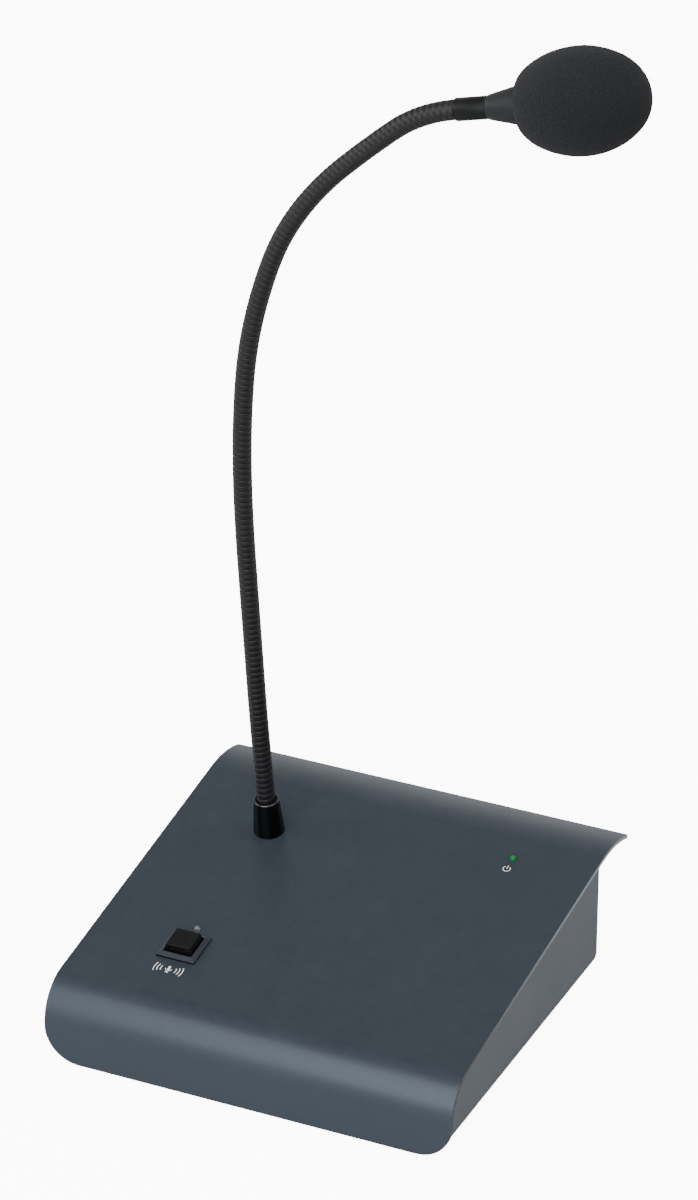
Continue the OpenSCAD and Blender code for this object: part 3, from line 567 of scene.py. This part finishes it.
# talk button, and the line socket at the rear
buttonLook = {"bezelEdge": 0.15, "bezelFacing": 0.6, "capEdge": 0.4, "capFacing": 0.3, "lineEdge": 0.25}
panelUp = slopeTurn.to_3x3() @ Vector((0, 0, 1))
buttonBezel = dressNode("switch_bezel", "buttonBezel", "glossMoulding", buttonLook["bezelEdge"])
# faces turned up take the lighter satin, the upright sides stay near black: painted shade along the bezel's
# edge
faceAcross(buttonBezel, panelUp, "bezelSatin", buttonLook["bezelFacing"])
buttonCap = dressNode("button_cap", "buttonCap", "glossMoulding", buttonLook["capEdge"], segments=4)
faceAcross(buttonCap, panelUp, "switchMatt", buttonLook["capFacing"])
dressNode("line_socket", "lineSocket", "socketBlack", buttonLook["lineEdge"], segments=2)

# return spring about the plunger, wound along the slope's normal
springLook = {"slope": 28.4, "depth": 10, "gap": 0.05, "wire": 0.7, "wireSides": 10, "radius": 3.2,
              "turns": 6, "turnSteps": 24, "pressed": 0.73}


def addSpring(look):
    bm = bmesh.new()
    wire = bmesh.ops.create_circle(bm, segments=look["wireSides"], radius=look["wire"] / 2)["verts"]
    low = look["wire"] / 2 + look["gap"] - look["depth"]
    upright = Matrix.Translation((look["radius"], 0, low)) @ Matrix.Rotation(math.pi / 2, 4, "X")
    bmesh.ops.transform(bm, matrix=upright, verts=wire)
    rise = look["depth"] - look["wire"] - 2 * look["gap"]
    steps = look["turnSteps"] * look["turns"]
    bmesh.ops.spin(bm, geom=bm.verts[:] + bm.edges[:], cent=(0, 0, 0), axis=(0, 0, 1),
                   dvec=(0, 0, rise / steps), angle=2 * math.pi * look["turns"], steps=steps)
    bmesh.ops.holes_fill(bm, edges=[e for e in bm.edges if e.is_boundary], sides=0)
    bmesh.ops.recalc_face_normals(bm, faces=bm.faces)
    toPlace(bm, onSlope(panel["column"], look["slope"]))
    spring = addPiece("returnSpring", bm, "zincPlate", "base", ["switch_spring"])
    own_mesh(spring)


addSpring(springLook)
print("button dressed")

# tapered socket at the neck's foot
socketLook = {"height": 18.5, "footRadius": 7.3, "topRadius": 5.85, "bore": 4.55, "cavity": 5.5,
              "cavityTop": 3.2, "skirt": 1.0, "edge": 0.55, "rimFacing": 0.25}


def addSocket(look):
    outline = [(look["cavity"], 0), (look["footRadius"], 0), (look["footRadius"], look["skirt"]),
               (look["topRadius"], look["height"]), (look["bore"], look["height"]),
               (look["bore"], look["cavityTop"]), (look["cavity"], look["cavityTop"])]
    bm = spunShape(outline)
    softenEdges(bm, look["edge"], segments=4)
    toPlace(bm, onSlope(panel["column"], neck["footSlope"]))
    socket = addPiece("neckSocket", bm, "glossMoulding", "base", ["neck_socket"])
    # faces turned along the panel's normal, the rim, take the lighter glossy copy: a painted highlight
    faceAcross(socket, panelUp, "rimHighlightGloss", look["rimFacing"])


addSocket(socketLook)


# ribbed winding of the neck, one length for each hinge, from mid-stretch to mid-stretch
def windingLength(look, low, high):
    pitch = look["linkLength"] / look["ribsPerLink"]
    first = math.floor(low / pitch) - 1
    turns = math.ceil(high / pitch) + 1 - first
    groove = look["grooveShare"] / 2
    crown = look["radius"]
    bottom = crown - look["grooveDepth"]
    halfRib = [(0, bottom), (groove * look["floorShare"], bottom + look["floorRise"]),
               (groove, crown - look["lipDrop"]),
               (groove * look["shoulderShare"], crown - look["crownDrop"])]
    section = halfRib + [(0.5, crown)] + [(1 - share, r) for share, r in reversed(halfRib)]
    bm = bmesh.new()
    rim = [bm.verts.new((r, 0, (first + share) * pitch)) for share, r in section]
    edges = [bm.edges.new(pair) for pair in zip(rim, rim[1:])]
    bmesh.ops.spin(bm, geom=rim + edges, cent=(0, 0, 0), axis=(0, 0, 1), dvec=(0, 0, pitch / look["sides"]),
                   angle=2 * math.pi, steps=look["sides"])
    oneTurn = bm.verts[:] + bm.edges[:] + bm.faces[:]
    for turn in range(1, turns):
        copied = bmesh.ops.duplicate(bm, geom=oneTurn)["geom"]
        lifted = [g for g in copied if isinstance(g, bmesh.types.BMVert)]
        bmesh.ops.translate(bm, vec=(0, 0, turn * pitch), verts=lifted)
    bmesh.ops.remove_doubles(bm, verts=bm.verts, dist=0.004)
    for height, side in ((low, -1), (high, 1)):
        bmesh.ops.bisect_plane(bm, geom=bm.verts[:] + bm.edges[:] + bm.faces[:], dist=1e-5,
                               plane_co=(0, 0, height), plane_no=(0, 0, side), clear_outer=True)
        cutEdges = [e for e in bm.edges if e.is_boundary
                    and all(abs(v.co.z - height) < 1e-3 for v in e.verts)]
        bmesh.ops.holes_fill(bm, edges=cutEdges, sides=0)
    bmesh.ops.recalc_face_normals(bm, faces=bm.faces)
    for vert in bm.verts:
        vert.co = neckPlace(vert.co.z) @ (Vector((vert.co.x, vert.co.y, 0)) * mm)
    return bm


def addNeck():
    count = len(neck["turns"])
    half = neck["linkLength"] / 2
    for k in range(count):
        joint = neck["rootLength"] + k * neck["linkLength"]
        low = neck["buried"] if k == 0 else joint - half
        high = neckEnd if k == count - 1 else joint + half
        winding = windingLength(neck, low, high)
        piece = addPiece("neckWinding_%d" % (k + 1), winding, "neckBlack", sharpAngle=60)
        neckPlace(joint - half).translation
        neckPlace(joint + half).translation
        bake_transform(piece)
        stands = ["neck_link_%d" % (k + 1)] + (["neck_root"] if k == 0 else [])
        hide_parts(*stands)


addNeck()
print("neck wound")

# sleeve and collar of the head
headLook = {"sleeveRadius": 4.9, "sleeveLength": 15.3, "collarRadius": 5.2, "collarLength": 14.5,
            "barrelRadius": 8.4, "collarRim": 3.0, "bore": 2.0, "spigotBore": 4.0, "spigotDepth": 6.2,
            "edge": 0.3, "shoulder": 0.6}


def addHead(look):
    place = neckPlace(neckEnd)
    sleeveTop = look["sleeveLength"]
    sleeve = spunShape([(look["spigotBore"], 0), (look["sleeveRadius"], 0),
                        (look["sleeveRadius"], sleeveTop), (look["bore"], sleeveTop),
                        (look["bore"], look["spigotDepth"]), (look["spigotBore"], look["spigotDepth"])])
    softenEdges(sleeve, look["edge"])
    toPlace(sleeve, place)
    addPiece("neckSleeve", sleeve, "sleeveDark", "neck_12", ["neck_sleeve"])
    taperTop = sleeveTop + look["collarLength"]
    rimTop = taperTop + look["collarRim"]
    collar = spunShape([(look["bore"], sleeveTop), (look["collarRadius"], sleeveTop),
                        (look["barrelRadius"], taperTop), (look["barrelRadius"], rimTop),
                        (look["bore"], rimTop)])
    softenEdges(collar, look["shoulder"], segments=4, fromAngle=20)
    toPlace(collar, place)
    addPiece("capsuleCollar", collar, "collarGrey", "neck_12", ["capsule_collar"])


addHead(headLook)

# foam windscreen
screenLook = {"radius": 22.5, "halfLength": 30.7, "middle": 57.5, "mouthRadius": 13.65, "mouthRound": 1.8,
              "mouthSteps": 8, "hollowRadius": 8.7, "hollowTop": 55.3, "hollowMargin": 0.1, "lip": 0.8,
              "subdivisions": 7, "pore": 1.0, "poreDepth": 0.07, "swell": 0.25, "swellLength": 14}


def addWindscreen(look):
    bm = bmesh.new()
    bmesh.ops.create_icosphere(bm, subdivisions=look["subdivisions"], radius=1)
    bmesh.ops.scale(bm, vec=(look["radius"], look["radius"], look["halfLength"]), verts=bm.verts)
    bmesh.ops.translate(bm, vec=(0, 0, look["middle"]), verts=bm.verts)
    share = look["mouthRadius"] / look["radius"]
    mouth = look["middle"] - look["halfLength"] * math.sqrt(1 - share * share)
    cut = mouth + look["mouthRound"]
    cutShare = (look["middle"] - cut) / look["halfLength"]
    cutRadius = look["radius"] * math.sqrt(1 - cutShare * cutShare)
    bmesh.ops.bisect_plane(bm, geom=bm.verts[:] + bm.edges[:] + bm.faces[:], dist=1e-5,
                           plane_co=(0, 0, cut), plane_no=(0, 0, -1), clear_outer=True)
    rim = [e for e in bm.edges if e.is_boundary]
    # the mouth rounds over to a flat ring about the collar, then runs up as the hollow over the barrel
    corner = (look["mouthRadius"], mouth)
    flatStart = (look["mouthRadius"] - look["mouthRound"], mouth)
    rings = geometry.interpolate_bezier((cutRadius, cut), corner, corner, flatStart, look["mouthSteps"])[1:]
    rings += [(look["hollowRadius"] + look["lip"], mouth), (look["hollowRadius"], mouth + look["lip"]),
              (look["hollowRadius"], look["hollowTop"])]
    for radius, height in rings:
        made = bmesh.ops.extrude_edge_only(bm, edges=rim)["geom"]
        rim = [g for g in made if isinstance(g, bmesh.types.BMEdge)]
        for vert in {v for e in rim for v in e.verts}:
            flat = Vector((vert.co.x, vert.co.y)).normalized() * radius
            vert.co = (flat.x, flat.y, height)
    bmesh.ops.holes_fill(bm, edges=rim, sides=0)
    bmesh.ops.recalc_face_normals(bm, faces=bm.faces)
    bm.normal_update()
    moves = []
    for vert in bm.verts:
        fromAxis = Vector((vert.co.x, vert.co.y)).length - look["hollowMargin"]
        if fromAxis < look["hollowRadius"] and vert.co.z - look["hollowMargin"] < look["hollowTop"]:
            continue
        pores = noise.noise(vert.co / look["pore"]) * look["poreDepth"]
        swell = noise.noise(vert.co / look["swellLength"]) * look["swell"]
        moves.append((vert, vert.normal * (pores + swell - look["poreDepth"])))
    for vert, move in moves:
        vert.co += move
    toPlace(bm, neckPlace(neckEnd))
    piece = addPiece("foamWindscreen", bm, "foam", "neck_12", ["windscreen"], sharpAngle=80)


addWindscreen(screenLook)
print("head made")

# lamps: domed lenses with a rim below the shoulder
lampLook = {"radius": 1.5, "rise": 0.2, "flangeRadius": 1.9, "flangeTop": -2.6, "flangeBottom": -3.6,
            "domeSteps": 8, "sides": 48, "talkSlope": 42, "powerX": 61.3, "powerSlope": 137.6}


def addLamp(name, nodeName, finish, x, s, look):
    dome = []
    for step in range(1, look["domeSteps"] + 1):
        angle = math.pi / 2 * step / look["domeSteps"]
        dome.append((look["radius"] * math.cos(angle), look["rise"] + look["radius"] * math.sin(angle)))
    outline = [(0, look["flangeBottom"]), (look["flangeRadius"], look["flangeBottom"]),
               (look["flangeRadius"], look["flangeTop"]), (look["radius"], look["flangeTop"]),
               (look["radius"], look["rise"])] + dome
    bm = spunShape(outline, look["sides"], closed=False)
    toPlace(bm, onSlope(x, s))
    addPiece(name, bm, finish, "base", [nodeName])


addLamp("talkLamp", "talk_lamp", "lampClear", panel["column"], lampLook["talkSlope"], lampLook)
addLamp("powerLamp", "power_lamp", "lampGreen", lampLook["powerX"], lampLook["powerSlope"], lampLook)
print("lamps made")

# printed pictograms, a film on the panel; the talk sign's parts are shares of its height
printLook = {"film": 0.04, "lift": 0.005, "line": 0.42, "talkSlope": 12.3, "talkHeight": 4.6,
             "waves": (0.8, 1.15, 1.5), "waveSweep": 48, "waveSteps": 10, "powerSlope": 130,
             "powerRadius": 1.7, "powerLine": 0.336, "powerFrom": 125, "powerSweep": 290, "barUp": 0.75,
             "barTall": 1.3}
talkShares = {"bodyUp": 0.19, "bodyWide": 0.24, "bodyTall": 0.6, "bodyRound": 0.115, "holderUp": 0.09,
              "holderRadius": 0.32, "stemDown": 0.33, "stemTall": 0.25, "footDown": 0.46, "footWide": 0.34}


def flatBand(bm, centre, radius, width, fromAngle, sweep, steps=20):
    # part of a flat ring, by spinning a short edge
    start = math.radians(fromAngle)
    ends = [bm.verts.new((centre[0] + r * math.cos(start), centre[1] + r * math.sin(start), 0))
            for r in (radius - width / 2, radius + width / 2)]
    edge = bm.edges.new(ends)
    bmesh.ops.spin(bm, geom=ends + [edge], cent=(centre[0], centre[1], 0), axis=(0, 0, 1),
                   angle=math.radians(sweep), steps=steps)


def flatBar(bm, centre, width, height, corner=0.0):
    made = bmesh.ops.create_grid(bm, x_segments=1, y_segments=1, size=0.5)["verts"]
    bmesh.ops.scale(bm, vec=(width, height, 1), verts=made)
    bmesh.ops.translate(bm, vec=(centre[0], centre[1], 0), verts=made)
    if corner:
        bmesh.ops.bevel(bm, geom=made, offset=corner, offset_type="OFFSET", affect="VERTICES", segments=5,
                        profile=0.5, material=-1)


def addPrint(name, bm, x, s, look):
    bmesh.ops.remove_doubles(bm, verts=bm.verts, dist=1e-4)
    made = bmesh.ops.extrude_face_region(bm, geom=bm.faces[:])["geom"]
    lifted = [g for g in made if isinstance(g, bmesh.types.BMVert)]
    bmesh.ops.translate(bm, vec=(0, 0, look["film"]), verts=lifted)
    bmesh.ops.recalc_face_normals(bm, faces=bm.faces)
    toPlace(bm, onSlope(x, s, look["lift"]))
    addPiece(name, bm, "panelPrint", "base")


def addTalkSign(look, shares):
    bm = bmesh.new()
    line, tall, sweep = look["line"], look["talkHeight"], look["waveSweep"]
    size = {key: share * tall for key, share in shares.items()}
    flatBar(bm, (0, size["bodyUp"]), size["bodyWide"], size["bodyTall"], size["bodyRound"])
    flatBand(bm, (0, size["holderUp"]), size["holderRadius"], line, 180, 180)
    flatBar(bm, (0, -size["stemDown"]), line, size["stemTall"])
    flatBar(bm, (0, -size["footDown"]), size["footWide"], line)
    for side in (0, 180):
        for ring in look["waves"]:
            flatBand(bm, (0, 0), tall * ring, line, side - sweep / 2, sweep, look["waveSteps"])
    addPrint("talkSign", bm, panel["column"], look["talkSlope"], look)


def addPowerSign(look):
    bm = bmesh.new()
    line, radius = look["powerLine"], look["powerRadius"]
    flatBand(bm, (0, 0), radius, line, look["powerFrom"], look["powerSweep"])
    flatBar(bm, (0, radius * look["barUp"]), line, radius * look["barTall"])
    addPrint("powerSign", bm, lampLook["powerX"], look["powerSlope"], look)


addTalkSign(printLook, talkShares)
addPowerSign(printLook)
print("signs printed")

# floor and studio light
studio = {
    "floor": (250, 250, 250), "paperRough": 0.9, "glow": 10.0, "bounce": (186, 187, 188), "mirrored": 0.27,
    "floorHalf": 6.0, "seenWhite": 11.0,
    "skyLow": 1.0, "skyHigh": 0.1, "skyFade": 0.6,  # the room is lighter near the floor
    "lights": {
        "rightSoftbox": {"place": (1.0, 1.25, 0.9), "size": (1.0, 1.0), "power": 5},
        "leftSoftbox": {"place": (-1.3, -0.5, 0.8), "size": (0.9, 0.9), "power": 9},
        "frontSoftbox": {"place": (0.0, -1.5, 1.2), "size": (1.6, 2.1), "power": 45},
        "overhead": {"place": (0.5, 0.0, 1.75), "size": (1.1, 1.1), "power": 13},
        "rearPanel": {"place": (-0.75, 1.5, 0.85), "size": (1.6, 1.3), "power": 2},
    },
    "aim": (0.0, 0.0, 0.15),
}


def makeFloorPaper(look):
    # white to look at, but it throws back less light than white paper would
    material = bpy.data.materials.new("floorPaper")
    material.use_nodes = True
    tree = material.node_tree
    shader = tree.nodes["Principled BSDF"]
    shader.inputs["Base Color"].default_value = srgb(*look["floor"])
    shader.inputs["Roughness"].default_value = look["paperRough"]
    shader.inputs["Emission Color"].default_value = (1, 1, 1, 1)
    shader.inputs["Emission Strength"].default_value = look["glow"]
    dull = addNode(tree, "BsdfDiffuse")
    dull.inputs["Color"].default_value = srgb(*look["bounce"])
    path = addNode(tree, "LightPath")
    gleam = addNode(tree, "Emission")
    tree.links.new(mathNode(tree, "MULTIPLY", path.outputs["Is Glossy Ray"], look["mirrored"]),
                   gleam.inputs["Strength"])
    thrown = addNode(tree, "AddShader")
    tree.links.new(dull.outputs["BSDF"], thrown.inputs[0])
    tree.links.new(gleam.outputs["Emission"], thrown.inputs[1])
    pick = addNode(tree, "MixShader")
    tree.links.new(path.outputs["Is Camera Ray"], pick.inputs["Fac"])
    tree.links.new(thrown.outputs["Shader"], pick.inputs[1])
    tree.links.new(shader.outputs["BSDF"], pick.inputs[2])
    tree.links.new(pick.outputs["Shader"], tree.nodes["Material Output"].inputs["Surface"])
    return material


def makeRoom(look):
    world = bpy.data.worlds.new("studioRoom")
    world.use_nodes = True
    tree = world.node_tree
    lit = tree.nodes["Background"]
    parts = addNode(tree, "SeparateXYZ")
    tree.links.new(addNode(tree, "TexCoord").outputs["Generated"], parts.inputs[0])
    fade = addNode(tree, "MapRange", interpolation_type="SMOOTHSTEP")
    fade.inputs["From Max"].default_value = look["skyFade"]
    fade.inputs["To Min"].default_value = look["skyLow"]
    fade.inputs["To Max"].default_value = look["skyHigh"]
    tree.links.new(parts.outputs["Z"], fade.inputs["Value"])
    lit.inputs["Color"].default_value = (1, 1, 1, 1)
    tree.links.new(fade.outputs["Result"], lit.inputs["Strength"])
    seen = addNode(tree, "Background")
    seen.inputs["Strength"].default_value = look["seenWhite"]
    pick = addNode(tree, "MixShader")
    tree.links.new(addNode(tree, "LightPath").outputs["Is Camera Ray"], pick.inputs["Fac"])
    tree.links.new(lit.outputs["Background"], pick.inputs[1])
    tree.links.new(seen.outputs["Background"], pick.inputs[2])
    tree.links.new(pick.outputs["Shader"], tree.nodes["World Output"].inputs["Surface"])
    return world


def addStudio(look):
    bm = bmesh.new()
    bmesh.ops.create_grid(bm, x_segments=2, y_segments=2, size=look["floorHalf"])
    mesh = bpy.data.meshes.new("floor")
    bm.to_mesh(mesh)
    bm.free()
    floor = bpy.data.objects.new("floor", mesh)
    bpy.context.scene.collection.objects.link(floor)
    mesh.materials.append(makeFloorPaper(look))
    for name, light in look["lights"].items():
        data = bpy.data.lights.new(name, "AREA")
        data.shape = "RECTANGLE"
        data.size, data.size_y = light["size"]
        data.energy = light["power"]
        lamp = bpy.data.objects.new(name, data)
        bpy.context.scene.collection.objects.link(lamp)
        place = Vector(light["place"])
        aim = (Vector(look["aim"]) - place).to_track_quat("-Z", "Y")
        lamp.matrix_world = Matrix.Translation(place) @ aim.to_matrix().to_4x4()
    bpy.context.scene.world = makeRoom(look)


addStudio(studio)
print("studio set")
